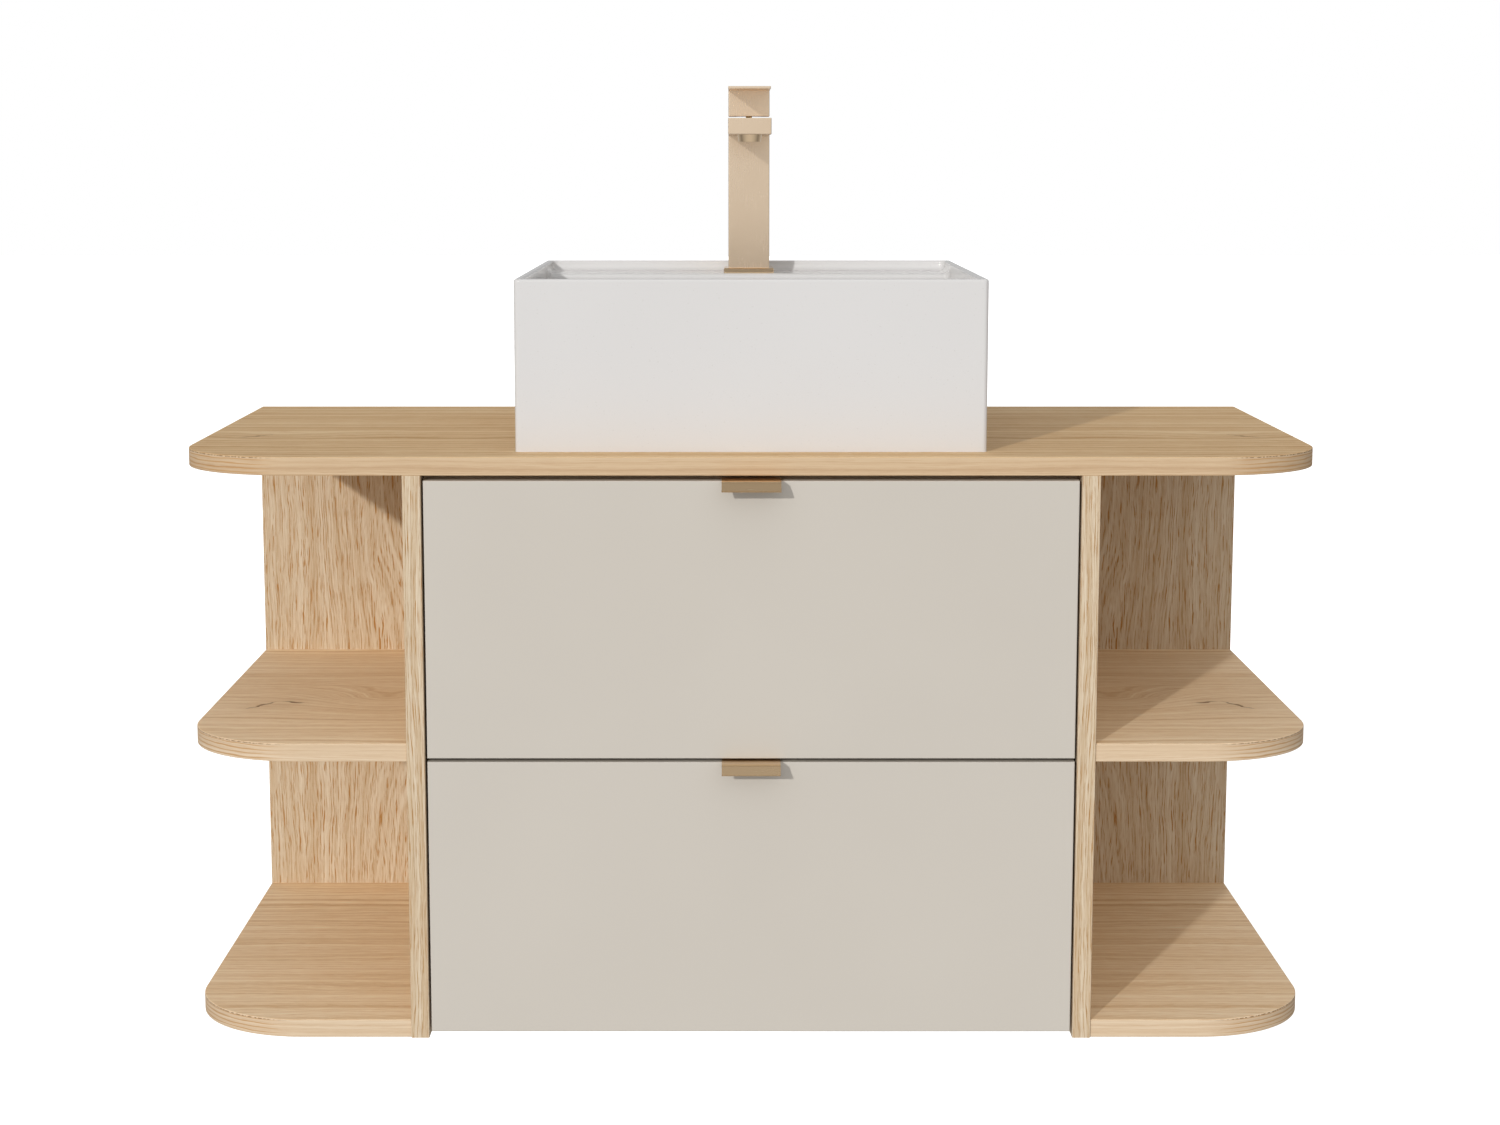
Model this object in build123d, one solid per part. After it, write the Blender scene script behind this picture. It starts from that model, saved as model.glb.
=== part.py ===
"""Wall-hung washbasin vanity: oak cabinet, two drawers, vessel basin and tall mixer tap.

Frame: X to the right, the front faces -Y, Z up, millimetres.  The origin is on the wall
plane, in the middle of the four wall bolts.  Each function makes one piece, or one group
of identical fasteners, and the list at the end names the file of each piece.
"""
from build123d import *
import os
from math import radians, tan

# ---- driving dimensions -------------------------------------------------------------
CABINET_WIDTH = 1000.0
CABINET_DEPTH = 480.0
PANEL_HEIGHT = 500.0
BOARD = 16.0                 # every oak board and drawer front
BAY_WIDTH = 568.0            # clear width between the two side panels
CORNER_RADIUS = 102.0        # front corners of the worktop and the shelves
EDGE_EASE = 0.8              # softened board edges
SHELF_SETBACK = 2.0          # shelf fronts behind the side panels' front edges
MIDDLE_SHELF_TOP = 15.0

WALL_BOLT_X = 255.0
WALL_BOLT_Z = 185.0
WALL_BOLT_HOLE_R = 4.5

FRONT_HEIGHT = 243.5         # of each drawer front
DRAWER_GAP = 3.0             # between the two drawer fronts
FRONT_TOP_GAP = 4.5          # between the upper front and the worktop
FRONT_SIDE_GAP = 2.0
FRONT_RECESS = 0.6
FRONT_EDGE = 1.0             # radius of the drawer fronts' edges
DRAWER_LENGTH = 400.0
DRAWER_SIDE_HEIGHT = 170.0
DRAWER_SIDE_THICKNESS = 12.0
DRAWER_BOTTOM_THICKNESS = 8.0
RUNNER_SPACE = 12.8          # side clearance that holds a ball runner
LINER_HALF_WIDTH = 78.0      # outside of the plastic siphon recess in the upper drawer
LINER_WALL = 3.0

BASIN_WIDTH = 411.0
BASIN_DEPTH = 430.0
BASIN_HEIGHT = 150.0
BASIN_WALL = 6.8
BASIN_BACK_GAP = 9.0         # behind the basin, to the wall plane
DECK_DROP = 10.0             # tap deck below the rim
DECK_DEPTH = 76.0
BOWL_FLOOR = 24.0            # above the worktop

TAP_SIZE = 40.6              # square section of the tap's column, spout and lever
TAP_BEHIND = 53.0            # tap axis in front of the wall plane
SPOUT_REACH = 149.0          # spout beyond the column's front face
SPOUT_HEIGHT = 15.3
COLUMN_HEIGHT = 150.3        # top of the column above the tap deck
LEVER_GAP = 3.2
LEVER_BLOCK_HEIGHT = 25.0
LEVER_PLATE = 2.2
LEVER_OVERHANG = 100.0
LEVER_LIFT = 20.0            # degrees from shut to fully open

HANDLE_WIDTH = 51.0
HANDLE_SHEET = 1.6

# ---- derived planes -----------------------------------------------------------------
HALF_WIDTH = CABINET_WIDTH / 2
HALF_BAY = BAY_WIDTH / 2
PANEL_OUTER = HALF_BAY + BOARD
FRONT = -CABINET_DEPTH
BACK_FACE = -BOARD                       # front face of the back panel
PANEL_TOP = PANEL_HEIGHT / 2
PANEL_BOTTOM = -PANEL_HEIGHT / 2
WORKTOP_TOP = PANEL_TOP + BOARD
SHELF_FRONT = FRONT + SHELF_SETBACK

FRONT_FACE = FRONT + FRONT_RECESS
FRONT_BACK = FRONT_FACE + BOARD
UPPER_FRONT_TOP = PANEL_TOP - FRONT_TOP_GAP
UPPER_FRONT_BOTTOM = UPPER_FRONT_TOP - FRONT_HEIGHT
LOWER_FRONT_TOP = UPPER_FRONT_BOTTOM - DRAWER_GAP
LOWER_FRONT_BOTTOM = LOWER_FRONT_TOP - FRONT_HEIGHT
DRAWER_HALF = HALF_BAY - RUNNER_SPACE
DRAWER_INNER = DRAWER_HALF - DRAWER_SIDE_THICKNESS
DRAWER_REAR = FRONT_BACK + DRAWER_LENGTH
UPPER_BOX_BOTTOM = UPPER_FRONT_BOTTOM + 18.0
LOWER_BOX_BOTTOM = LOWER_FRONT_BOTTOM + 18.0
BOTTOM_RAISE = 10.0                      # drawer bottom above the sides' lower edges
GROOVE_DEPTH = 6.0
BACK_HEIGHT = DRAWER_SIDE_HEIGHT - 8.0   # top of the drawer backs above the sides' lower edges

BASIN_BACK = -BASIN_BACK_GAP
BASIN_FRONT = BASIN_BACK - BASIN_DEPTH
RIM = WORKTOP_TOP + BASIN_HEIGHT
DECK = RIM - DECK_DROP
DECK_FRONT = BASIN_BACK - BASIN_WALL - DECK_DEPTH
DRAIN_Y = (BASIN_FRONT + BASIN_WALL + DECK_FRONT) / 2
BOWL_BASE = WORKTOP_TOP + BOWL_FLOOR
BASIN_UNDERSIDE = WORKTOP_TOP + 10.0     # the floor's underside, inside the foot
DRAIN_SEAT = BOWL_BASE - 3.0
DRAIN_HOLE_R = 23.0
WASTE_HOLE_R = 37.5                      # in the worktop, under the waste
HOSE_HOLE_R = 30.0                       # in the worktop, under the tap

TAP_Y = -TAP_BEHIND
TAP_HALF = TAP_SIZE / 2
TAP_HOLE_R = 17.5
BASE_PLATE_SIZE = 49.6
BASE_PLATE_THICKNESS = 4.8
COLUMN_TOP = DECK + COLUMN_HEIGHT
COLUMN_BOTTOM = DECK + BASE_PLATE_THICKNESS
SPOUT_BOTTOM = COLUMN_TOP - SPOUT_HEIGHT
SPOUT_TIP = TAP_Y - TAP_HALF - SPOUT_REACH
AERATOR_Y = SPOUT_TIP + 24.0
LEVER_BOTTOM = COLUMN_TOP + LEVER_GAP
LEVER_TOP = LEVER_BOTTOM + LEVER_BLOCK_HEIGHT
LEVER_PIVOT_Z = COLUMN_TOP - 11.3        # the lift pin, inside the cartridge
CARTRIDGE_R = 16.3
ROTOR_R = 9.0
STEM_WIDTH = 6.0
STEM_DEPTH = 7.0
PIN_R = 1.25
PIN_FIT = 0.05

THREAD_R = 20.9                          # G 1 1/4 waste thread, outside
PIPE_R = 16.0                            # 32 mm waste pipe, outside
WASTE_PIPE_END = -2.0
OUTLET_Z = WORKTOP_TOP - 105.0
TRAP_R = 30.0

FIT = 0.1                                # radial clearance of a screw or dowel in its hole


# ---- helpers ------------------------------------------------------------------------
def block(x, y, z):
    """A box from three (low, high) pairs."""
    size = [high - low for low, high in (x, y, z)]
    centre = [(high + low) / 2 for low, high in (x, y, z)]
    return Pos(*centre) * Box(*size)


def rod(radius, start, end):
    """A cylinder between two points."""
    start, end = Vector(*start), Vector(*end)
    along = end - start
    base = Plane(origin=start, z_dir=along.normalized())
    return base * Cylinder(radius, along.length, align=(Align.CENTER, Align.CENTER, Align.MIN))


def drum(radius, low, high, x=0.0, y=0.0):
    """An upright cylinder."""
    return rod(radius, (x, y, low), (x, y, high))


def taper(lower_radius, upper_radius, low, high, x=0.0, y=0.0):
    """An upright cone frustum."""
    align = (Align.CENTER, Align.CENTER, Align.MIN)
    return Pos(x, y, low) * Cone(lower_radius, upper_radius, high - low, align=align)


def tube(outer, inner, low, high, x=0.0, y=0.0):
    """An upright ring."""
    return drum(outer, low, high, x, y) - drum(inner, low, high, x, y)


def hex_ring(across_flats, inner, low, high, x=0.0, y=0.0):
    """An upright hexagon nut without threads."""
    outline = RegularPolygon(across_flats / 2, 6, major_radius=False)
    nut = Pos(x, y, low) * extrude(outline, amount=high - low)
    return nut - drum(inner, low, high, x, y)


def screw(at, along, length, shank=2.2, head=4.2, head_height=2.8):
    """A screw whose head lies behind the point and whose shank runs along a unit vector."""
    at, along = Vector(*at), Vector(*along)
    body = rod(shank, tuple(at), tuple(at + along * length))
    cap = rod(head, tuple(at), tuple(at - along * head_height))
    return body + cap


def screw_hole(at, along, length, shank=2.2):
    """The clearance hole of the same screw's shank, a little deeper than its tip."""
    at, along = Vector(*at), Vector(*along)
    return rod(shank + FIT, tuple(at), tuple(at + along * (length + 1)))


def drill(solid, tools):
    """Cut every tool out of a solid."""
    for tool in tools:
        solid = solid - tool
    return solid


def both_sides(positions):
    """Each (x, y, z) and its mirror image across the middle of the cabinet."""
    return [(side * x, y, z) for x, y, z in positions for side in (-1, 1)]


# ---- fasteners of the cabinet -------------------------------------------------------
DOWEL_R = 4.0
DOWEL_IN_FACE = 10.0         # depth in a board's face
DOWEL_IN_EDGE = 14.0         # depth in a board's edge
COUNTERSINK = 2.8
BACK_SCREW_LENGTH = 36.0
TOP_SCREW_LENGTH = 24.0
RUNNER_SCREW_LENGTH = 10.0

SHELF_MIDDLES = (MIDDLE_SHELF_TOP - BOARD / 2, PANEL_BOTTOM + BOARD / 2)
RAIL_Y = (FRONT + 25.0, FRONT + 85.0)
BOTTOM_RAIL_Y = (BACK_FACE - 60.0, BACK_FACE)
REAR_RAIL_Y = (BACK_FACE - BOARD, BACK_FACE)
REAR_RAIL_Z = (PANEL_TOP - 40.0, PANEL_TOP)
RAIL_TOP_Z = (PANEL_TOP - BOARD, PANEL_TOP)
RAIL_BOTTOM_Z = (PANEL_BOTTOM, PANEL_BOTTOM + BOARD)


def rail_dowel_places():
    """(y, z) of the dowels in the ends of the three rails."""
    top_z, bottom_z = PANEL_TOP - BOARD / 2, PANEL_BOTTOM + BOARD / 2
    places = [(FRONT + 40, top_z), (FRONT + 70, top_z)]
    places += [(BACK_FACE - 45, bottom_z), (BACK_FACE - 15, bottom_z)]
    return places + [(BACK_FACE - BOARD / 2, PANEL_TOP - 20)]


def dowel_places():
    """Start point in a face and the unit vector into the edge of the joining board."""
    places = []
    for side in (-1, 1):
        for y in (FRONT + 110, BACK_FACE - 70):
            for z in SHELF_MIDDLES:
                places.append(((side * PANEL_OUTER, y, z), (side, 0, 0)))
        for y in (FRONT + 60, FRONT + 230, BACK_FACE - 60):
            places.append(((side * (HALF_BAY + BOARD / 2), y, PANEL_TOP), (0, 0, -1)))
        for y, z in rail_dowel_places():
            places.append(((side * HALF_BAY, y, z), (-side, 0, 0)))
    return places


def dowel(place, growth=0.0):
    """A wooden dowel across a joint, or with growth the hole that takes it."""
    point, along = Vector(*place[0]), Vector(*place[1])
    start = point - along * (DOWEL_IN_FACE + growth * 2)
    end = point + along * (DOWEL_IN_EDGE + growth * 2)
    return rod(DOWEL_R + growth, tuple(start), tuple(end))


def panel_dowels():
    return [dowel(place) for place in dowel_places()]


def dowel_holes(faces):
    """The dowel holes whose joint lies inside the given (low, high) box."""
    holes = []
    for place in dowel_places():
        if all(low - 1 <= value <= high + 1 for value, (low, high) in zip(place[0], faces)):
            holes.append(dowel(place, FIT))
    return holes


def back_screw_places():
    """Screws from the rear, through the back panel, into the boards in front of it."""
    middle_of_panel = HALF_BAY + BOARD / 2
    middle_of_bay = (PANEL_OUTER + HALF_WIDTH) / 2
    places = [(middle_of_panel, -COUNTERSINK, z) for z in (-220, 30, 145)]
    places += [(middle_of_bay, -COUNTERSINK, z) for z in SHELF_MIDDLES]
    return both_sides(places)


def top_screw_places():
    """Screws up through the front rail into the worktop."""
    return both_sides([(150.0, sum(RAIL_Y) / 2, RAIL_TOP_Z[0] + COUNTERSINK)])


BRACKET_SHEET = 3.0
BRACKET_SIZE = 48.0
BRACKET_DEPTH = 34.0


def bracket_screw_places():
    """Two screws hold each wall bracket to its side panel."""
    places = []
    for z in (-WALL_BOLT_Z, WALL_BOLT_Z):
        for offset in (-14, 14):
            places.append((HALF_BAY - BRACKET_SHEET, BACK_FACE - 20, z + offset))
    return both_sides(places)


RUNNER_SHEET = 1.2
RUNNER_HEIGHT = 45.0
RUNNER_LENGTH = 390.0
RUNNER_FRONT = FRONT_BACK + 2.0
UPPER_RUNNER_Z = UPPER_BOX_BOTTOM + DRAWER_SIDE_HEIGHT / 2
LOWER_RUNNER_Z = LOWER_BOX_BOTTOM + DRAWER_SIDE_HEIGHT / 2
RUNNER_SCREW_Y = [RUNNER_FRONT + offset for offset in (35.0, 180.0, 340.0)]


def runner_screw_places():
    """Screws of the fixed runner members, in both side panels."""
    x = HALF_BAY - RUNNER_SHEET
    return both_sides([(x, y, z) for y in RUNNER_SCREW_Y for z in (UPPER_RUNNER_Z, LOWER_RUNNER_Z)])


def outward(place):
    """Unit vector from the middle of the cabinet towards a side."""
    return (1 if place[0] > 0 else -1, 0, 0)


RUNNER_SCREW = {"length": RUNNER_SCREW_LENGTH, "shank": 1.8, "head": 3.4, "head_height": 1.4}
BRACKET_SCREW = {"length": 12.0, "shank": 2.2, "head": 4.2, "head_height": 2.2}


def carcass_screws():
    screws = [screw(place, (0, -1, 0), BACK_SCREW_LENGTH) for place in back_screw_places()]
    screws += [screw(place, (0, 0, 1), TOP_SCREW_LENGTH) for place in top_screw_places()]
    screws += [screw(place, outward(place), **BRACKET_SCREW) for place in bracket_screw_places()]
    screws += [screw(place, outward(place), **RUNNER_SCREW) for place in runner_screw_places()]
    return screws


def back_screw_holes():
    return [screw_hole(place, (0, -1, 0), BACK_SCREW_LENGTH) for place in back_screw_places()]


# ---- cabinet ------------------------------------------------------------------------
def rounded_board(x, y, z, corners):
    """A flat board whose named front corners ("left", "right") are rounded in plan."""
    outline = Pos((x[0] + x[1]) / 2, (y[0] + y[1]) / 2) * Rectangle(x[1] - x[0], y[1] - y[0])
    front = outline.vertices().group_by(Axis.Y)[0].sort_by(Axis.X)
    chosen = [front[0]] * ("left" in corners) + [front[-1]] * ("right" in corners)
    outline = fillet(chosen, CORNER_RADIUS)
    board = Pos(0, 0, z[0]) * extrude(outline, amount=z[1] - z[0])
    flat_faces = board.faces().sort_by(Axis.Z)
    rims = flat_faces[0].edges() + flat_faces[-1].edges()
    return fillet([edge for edge in rims if edge.center().Y < y[1] - 1], EDGE_EASE)


def worktop():
    width, thickness = (-HALF_WIDTH, HALF_WIDTH), (PANEL_TOP, WORKTOP_TOP)
    board = rounded_board(width, (FRONT, 0), thickness, ("left", "right"))
    board -= drum(WASTE_HOLE_R, *thickness, 0, DRAIN_Y)
    board -= drum(HOSE_HOLE_R, *thickness, 0, TAP_Y)
    holes = dowel_holes((width, (FRONT, 0), (PANEL_TOP, PANEL_TOP)))
    holes += [screw_hole(place, (0, 0, 1), TOP_SCREW_LENGTH) for place in top_screw_places()]
    return drill(board, holes)


def side_panel(side):
    x = sorted((side * HALF_BAY, side * PANEL_OUTER))
    board = block(x, (FRONT, BACK_FACE), (PANEL_BOTTOM, PANEL_TOP))
    board = fillet(board.edges().filter_by(Axis.Z).group_by(Axis.Y)[0], EDGE_EASE)
    holes = dowel_holes((x, (FRONT, 0), (PANEL_BOTTOM, PANEL_TOP))) + back_screw_holes()
    holes += [screw_hole(place, outward(place), BRACKET_SCREW["length"]) for place in bracket_screw_places()]
    holes += [screw_hole(place, outward(place), RUNNER_SCREW["length"], RUNNER_SCREW["shank"])
              for place in runner_screw_places()]
    return drill(board, holes)


SCREW_HEAD_R = 4.2
SERVICE_HALF_WIDTH = 120.0
SERVICE_Z = (OUTLET_Z - 85.0, OUTLET_Z + 45.0)
SERVICE_CORNER_R = 15.0


def wall_bolt_places():
    return [(x, z) for x in (-WALL_BOLT_X, WALL_BOLT_X) for z in (-WALL_BOLT_Z, WALL_BOLT_Z)]


def back_panel():
    """Full-width board with the service opening for the waste and the water pipes."""
    board = block((-HALF_WIDTH, HALF_WIDTH), (BACK_FACE, 0), (PANEL_BOTTOM, PANEL_TOP))
    board = fillet(board.edges().filter_by(Axis.Z).group_by(Axis.Y)[0], EDGE_EASE)
    opening = block((-SERVICE_HALF_WIDTH, SERVICE_HALF_WIDTH), (BACK_FACE - 1, 1), SERVICE_Z)
    board -= fillet(opening.edges().filter_by(Axis.Y), SERVICE_CORNER_R)
    holes = [rod(WALL_BOLT_HOLE_R, (x, BACK_FACE - 1, z), (x, 1, z)) for x, z in wall_bolt_places()]
    holes += [rod(SCREW_HEAD_R + FIT, (x, y - 0.2, z), (x, 1, z)) for x, y, z in back_screw_places()]
    return drill(board, holes + back_screw_holes())


def shelf(side, top):
    x = sorted((side * PANEL_OUTER, side * HALF_WIDTH))
    corner = "right" if side > 0 else "left"
    board = rounded_board(x, (SHELF_FRONT, BACK_FACE), (top - BOARD, top), (corner,))
    holes = dowel_holes((x, (FRONT, 0), (top - BOARD, top))) + back_screw_holes()
    return drill(board, holes)


def rail(y, z):
    """A board between the two side panels."""
    board = block((-HALF_BAY, HALF_BAY), y, z)
    return drill(board, dowel_holes(((-HALF_BAY, HALF_BAY), y, z)))


def front_top_rail():
    board = rail(RAIL_Y, RAIL_TOP_Z)
    holes = [screw_hole(place, (0, 0, 1), TOP_SCREW_LENGTH) for place in top_screw_places()]
    holes += [rod(SCREW_HEAD_R + FIT, (x, y, z + 0.2), (x, y, z - 5)) for x, y, z in top_screw_places()]
    return drill(board, holes)


def wall_bracket(side, z):
    """Steel angle inside the bay: one leg on the back panel, one on the side panel."""
    outer = side * HALF_BAY
    height = (z - BRACKET_SIZE / 2, z + BRACKET_SIZE / 2)
    back_x = sorted((outer, outer - side * BRACKET_SIZE))
    side_x = sorted((outer, outer - side * BRACKET_SHEET))
    back_leg = block(back_x, (BACK_FACE - BRACKET_SHEET, BACK_FACE), height)
    side_leg = block(side_x, (BACK_FACE - BRACKET_DEPTH, BACK_FACE), height)
    holes = [rod(WALL_BOLT_HOLE_R, (side * WALL_BOLT_X, BACK_FACE - 9, z), (side * WALL_BOLT_X, 0, z))]
    holes += [screw_hole(place, outward(place), BRACKET_SCREW["length"]) for place in bracket_screw_places()]
    return drill(back_leg + side_leg, holes)


def wall_brackets():
    return [wall_bracket(side, z) for side in (-1, 1) for z in (-WALL_BOLT_Z, WALL_BOLT_Z)]


# ---- drawers ------------------------------------------------------------------------
def channel(side, web_x, tip_x, height, z):
    """A runner member: a C section with its web at web_x and its flanges reaching tip_x."""
    y = (RUNNER_FRONT, RUNNER_FRONT + RUNNER_LENGTH)
    reach = RUNNER_SHEET if tip_x > web_x else -RUNNER_SHEET
    web = block(sorted((side * web_x, side * (web_x + reach))), y, (z - height / 2, z + height / 2))
    member = web
    for low in (z - height / 2, z + height / 2 - RUNNER_SHEET):
        member += block(sorted((side * web_x, side * tip_x)), y, (low, low + RUNNER_SHEET))
    return member


RUNNER_FLANGE = 9.2          # reach of the fixed member's flanges from its web
MIDDLE_OFFSET = 3.5          # middle member's web inside the fixed member's web
MIDDLE_FLANGE = 7.0
INNER_FLANGE = 6.3
BALL_GAP = 3.0               # where the balls run, above and below each inner member
MIDDLE_HEIGHT = RUNNER_HEIGHT - 2 * (RUNNER_SHEET + BALL_GAP)
INNER_HEIGHT = MIDDLE_HEIGHT - 2 * (RUNNER_SHEET + BALL_GAP)


def cabinet_runners(z):
    """The fixed runner members of one drawer, left and right."""
    holes = [screw_hole(place, outward(place), RUNNER_SCREW["length"], RUNNER_SCREW["shank"])
             for place in runner_screw_places()]
    tip = HALF_BAY - RUNNER_FLANGE
    return [drill(channel(side, HALF_BAY, tip, RUNNER_HEIGHT, z), holes) for side in (-1, 1)]


def middle_runners(z):
    """The members that travel half as far as the drawer."""
    web = HALF_BAY - MIDDLE_OFFSET
    return [channel(side, web, web - MIDDLE_FLANGE, MIDDLE_HEIGHT, z) for side in (-1, 1)]


def drawer_screw_places(z):
    """Screws of the moving runner members, in the drawer sides."""
    x = DRAWER_HALF + RUNNER_SHEET
    return both_sides([(x, y, z) for y in RUNNER_SCREW_Y])


def inward(place):
    return (-1 if place[0] > 0 else 1, 0, 0)


def drawer_runners(z):
    """The runner members fixed to the drawer."""
    holes = [screw_hole(place, inward(place), RUNNER_SCREW["length"], RUNNER_SCREW["shank"])
             for place in drawer_screw_places(z)]
    tip = DRAWER_HALF + INNER_FLANGE
    return [drill(channel(side, DRAWER_HALF, tip, INNER_HEIGHT, z), holes) for side in (-1, 1)]


HANDLE_LEG = 22.0            # leg behind the drawer front
HANDLE_REACH = 17.0          # flat part beyond the front's face
HANDLE_LIP = (25.2, -7.4)    # tip of the lip: beyond the face, below the front's top edge
HANDLE_SCREW_X = 15.0
HANDLE_SCREW_DROP = 13.0
HANDLE_SCREW = {"length": 11.0, "shank": 1.7, "head": 3.2, "head_height": 1.8}
PIN_SCREW_R = 3.0


def handle(top):
    """Folded sheet pull over a drawer front's top edge, with a lip that leans outwards."""
    half = HANDLE_SHEET / 2
    rear = FRONT_BACK + half
    points = [
        (rear, top - HANDLE_LEG),
        (rear, top + half),
        (FRONT_FACE - HANDLE_REACH, top + half),
        (FRONT_FACE - HANDLE_LIP[0] + half, top + HANDLE_LIP[1] + half),
    ]
    profile = trace(FilletPolyline(*points, radius=(1.2, 4.0)), line_width=HANDLE_SHEET)
    sheet = extrude(Plane.YZ * profile, amount=HANDLE_WIDTH / 2, both=True)
    holes = [rod(HANDLE_SCREW["shank"] + FIT, (x, FRONT_BACK - 1, z), (x, FRONT_BACK + 5, z))
             for x, z in handle_screw_places(top)]
    return drill(sheet, holes)


def handle_screw_places(top):
    return [(x, top - HANDLE_SCREW_DROP) for x in (-HANDLE_SCREW_X, HANDLE_SCREW_X)]


def front_pins(bottom):
    """Places of the steel pins that join a drawer front to its sides."""
    middle = DRAWER_HALF - DRAWER_SIDE_THICKNESS / 2
    return both_sides([(middle, FRONT_BACK, bottom + height) for height in (35.0, 135.0)])


def drawer_front(top, bottom, box_bottom):
    half = HALF_BAY - FRONT_SIDE_GAP
    board = block((-half, half), (FRONT_FACE, FRONT_BACK), (bottom, top))
    rims = board.edges().group_by(Axis.Y)
    board = fillet(rims[0] + rims[-1], FRONT_EDGE)
    holes = [screw_hole((x, FRONT_BACK, z), (0, -1, 0), HANDLE_SCREW["length"], HANDLE_SCREW["shank"])
             for x, z in handle_screw_places(top)]
    holes += [rod(PIN_SCREW_R + FIT, (x, y - 10.2, z), (x, y, z)) for x, y, z in front_pins(box_bottom)]
    return drill(board, holes)


def drawer_side(side, box_bottom):
    x = sorted((side * DRAWER_INNER, side * DRAWER_HALF))
    board = block(x, (FRONT_BACK, DRAWER_REAR), (box_bottom, box_bottom + DRAWER_SIDE_HEIGHT))
    board = fillet(board.edges().filter_by(Axis.Y).group_by(Axis.Z)[-1], EDGE_EASE)
    groove_x = sorted((side * DRAWER_INNER, side * (DRAWER_INNER + GROOVE_DEPTH)))
    bottom = box_bottom + BOTTOM_RAISE
    board -= block(groove_x, (FRONT_BACK, DRAWER_REAR), (bottom, bottom + DRAWER_BOTTOM_THICKNESS))
    z = box_bottom + DRAWER_SIDE_HEIGHT / 2
    holes = [screw_hole(place, inward(place), RUNNER_SCREW["length"], RUNNER_SCREW["shank"])
             for place in drawer_screw_places(z)]
    holes += [rod(PIN_SCREW_R + FIT, (px, y, pz), (px, y + 24.2, pz)) for px, y, pz in front_pins(box_bottom)]
    holes += [screw_hole(place, inward(place), **BOX_SCREW_HOLE) for place in box_screw_places(box_bottom)]
    holes += [rod(BOX_SCREW["head"] + FIT, place, (place[0] + 5 * side, place[1], place[2]))
              for place in box_screw_places(box_bottom)]
    return drill(board, holes)


BOX_SCREW = {"length": 30.0, "shank": 1.9, "head": 3.6, "head_height": 2.4}
BOX_SCREW_HOLE = {"length": 30.0, "shank": 1.9}


def box_screw_places(box_bottom):
    """Screws through the drawer sides into the back board's ends."""
    x = DRAWER_HALF - BOX_SCREW["head_height"]
    y = DRAWER_REAR - DRAWER_SIDE_THICKNESS / 2
    return both_sides([(x, y, box_bottom + height) for height in (40.0, 145.0)])


def drawer_fixings(top, box_bottom):
    """Handle screws, front pins, back screws and runner screws of one drawer."""
    solids = [screw((x, FRONT_BACK + HANDLE_SHEET, z), (0, -1, 0), **HANDLE_SCREW)
              for x, z in handle_screw_places(top)]
    solids += [rod(PIN_SCREW_R, (x, y - 10, z), (x, y + 24, z)) for x, y, z in front_pins(box_bottom)]
    solids += [screw(place, inward(place), **BOX_SCREW) for place in box_screw_places(box_bottom)]
    z = box_bottom + DRAWER_SIDE_HEIGHT / 2
    solids += [screw(place, inward(place), **RUNNER_SCREW) for place in drawer_screw_places(z)]
    return solids


def bottom_board(box_bottom):
    half = DRAWER_INNER + GROOVE_DEPTH
    low = box_bottom + BOTTOM_RAISE
    y = (FRONT_BACK, DRAWER_REAR - DRAWER_SIDE_THICKNESS)
    return block((-half, half), y, (low, low + DRAWER_BOTTOM_THICKNESS))


def back_board(x, box_bottom):
    y = (DRAWER_REAR - DRAWER_SIDE_THICKNESS, DRAWER_REAR)
    board = block(x, y, (box_bottom + BOTTOM_RAISE, box_bottom + BACK_HEIGHT))
    places = box_screw_places(box_bottom)
    return drill(board, [screw_hole(place, inward(place), **BOX_SCREW_HOLE) for place in places])


LINER_FRONT = DRAIN_Y - 66.0
LINER_CORNER_R = 30.0


def liner_outline(half_width, front):
    """The siphon recess in plan: straight sides and two rounded front corners."""
    depth = DRAWER_REAR - front
    outline = Pos(0, front + depth / 2) * Rectangle(2 * half_width, depth)
    return fillet(outline.vertices().group_by(Axis.Y)[0], LINER_CORNER_R)


def siphon_liner():
    """Plastic wall round the trap, which lets the upper drawer close past it."""
    low = UPPER_BOX_BOTTOM + BOTTOM_RAISE
    height = UPPER_BOX_BOTTOM + BACK_HEIGHT - low
    outer = extrude(liner_outline(LINER_HALF_WIDTH, LINER_FRONT), amount=height)
    inner_outline = liner_outline(LINER_HALF_WIDTH - LINER_WALL, LINER_FRONT + LINER_WALL)
    return Pos(0, 0, low) * (outer - extrude(inner_outline, amount=height))


def upper_drawer_bottom():
    low = UPPER_BOX_BOTTOM + BOTTOM_RAISE
    outline = liner_outline(LINER_HALF_WIDTH + FIT, LINER_FRONT - FIT)
    cut = extrude(outline, amount=DRAWER_BOTTOM_THICKNESS)
    return bottom_board(UPPER_BOX_BOTTOM) - Pos(0, 0, low) * cut


# ---- basin and waste ----------------------------------------------------------------
INNER_HALF = BASIN_WIDTH / 2 - BASIN_WALL
INNER_FRONT = BASIN_FRONT + BASIN_WALL
INNER_BACK = BASIN_BACK - BASIN_WALL
FOOT_WIDTH = 9.0
DECK_THICKNESS = 9.0
BOWL_FLOOR_R = 14.0          # floor to front wall and deck wall
BOWL_SIDE_R = 6.5            # side walls to everything else inside
DECK_EDGE_R = 4.0
DECK_BACK_R = 7.0
RIM_R = 2.2
CORNER_R = 4.0               # upright outer corners
DRAIN_SLOPE_R = (34.0, 62.0) # foot and head of the gentle cone round the waste
BOWL_REAR_WALL = 12.0


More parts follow.
